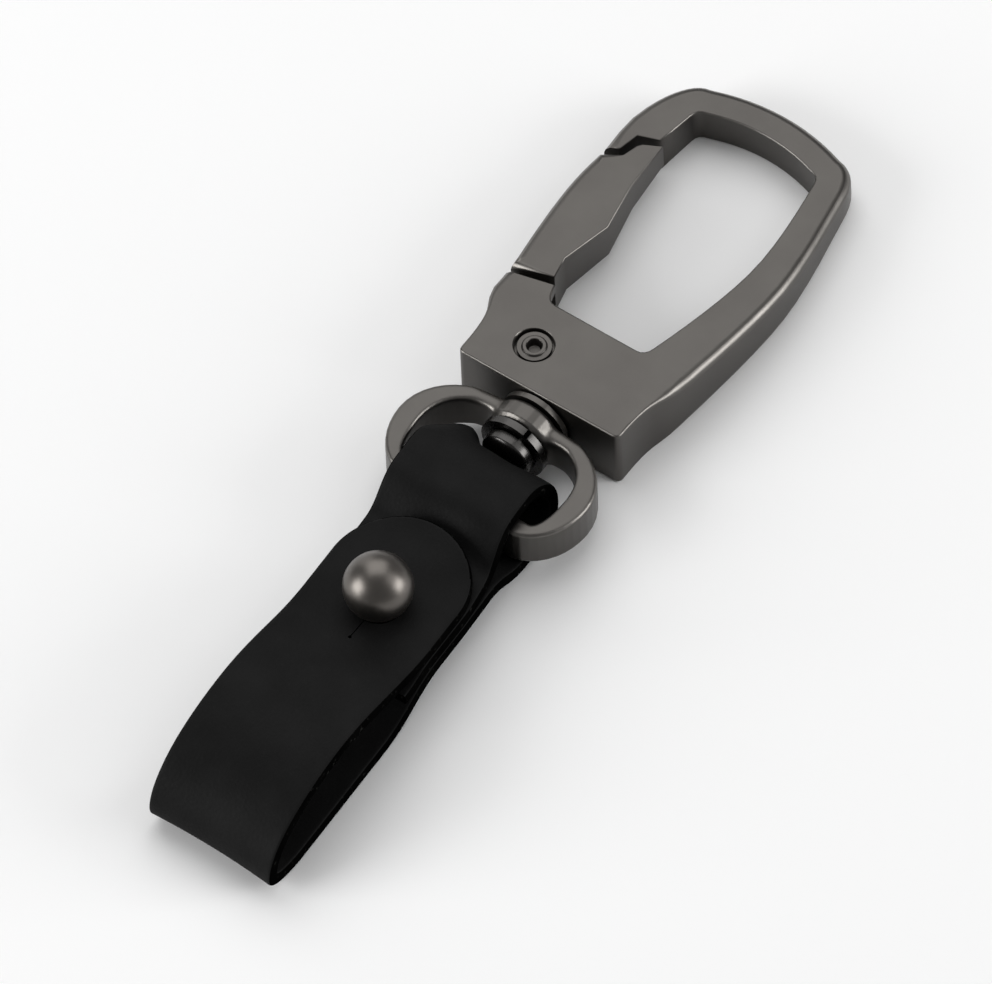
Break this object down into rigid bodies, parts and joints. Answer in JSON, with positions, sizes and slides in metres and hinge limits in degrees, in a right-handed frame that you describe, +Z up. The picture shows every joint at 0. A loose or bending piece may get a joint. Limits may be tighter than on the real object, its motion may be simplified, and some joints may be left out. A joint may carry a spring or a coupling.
{
  "type": "strap keychain",
  "caption": "Black leather strap keychain: swivel snap hook with a sprung gate, and a belt loop closed on a ball stud.",
  "frame": {"origin": "on the table, under the middle of the keychain's bounding box", "axes": "+Y along the keychain towards the hook's tip, +Z up from the table, +X to the right seen from above"},
  "size_m": [0.034, 0.1364, 0.0184],
  "materials": {
    "gunmetal": "satin gunmetal plating",
    "dark_steel": "polished dark plating",
    "spring_steel": "bright wire",
    "leather": "smooth matt black"
  },
  "bodies": {
    "hook": {"hook_body": "gunmetal", "gate_pivot_rivet": "dark_steel", "gate_torsion_spring": "spring_steel", "swivel_pin": "dark_steel", "thrust_washer": "gunmetal", "split_washer": "gunmetal"},
    "gate": {"gate": "gunmetal"},
    "ring": {"swivel_ring": "gunmetal"},
    "strap": {"strap": "leather", "ball_stud": "gunmetal", "stud_screw": "dark_steel"},
    "flap": {"strap_flap": "leather"}
  },
  "joints": [
    {"name": "gate_open", "type": "hinge", "parent": "hook", "child": "gate", "pos_m": [-0.0051, 0.01716, 0.005], "axis": [0, -0.0451, -0.999], "range_deg": [0, 28], "stiffness_Nm_per_rad": 0.05, "springref_deg": -28.65, "deforming": ["gate_torsion_spring"]},
    {"name": "ring_swivel", "type": "hinge", "parent": "hook", "child": "ring", "pos_m": [0, 0.01066, 0.0053], "axis": [0, 0.999, -0.0451], "continuous": true},
    {"name": "strap_swing", "type": "hinge", "parent": "ring", "child": "strap", "pos_m": [0, -0.00727, 0.0061], "axis": [1, 0, 0], "range_deg": [-100, 100]},
    {"name": "flap_open", "type": "hinge", "parent": "strap", "child": "flap", "pos_m": [0.00121, -0.05743, 0.0126], "axis": [1, -0.0059, 0], "range_deg": [0, 110], "deforming": ["strap_flap"]}
  ]
}
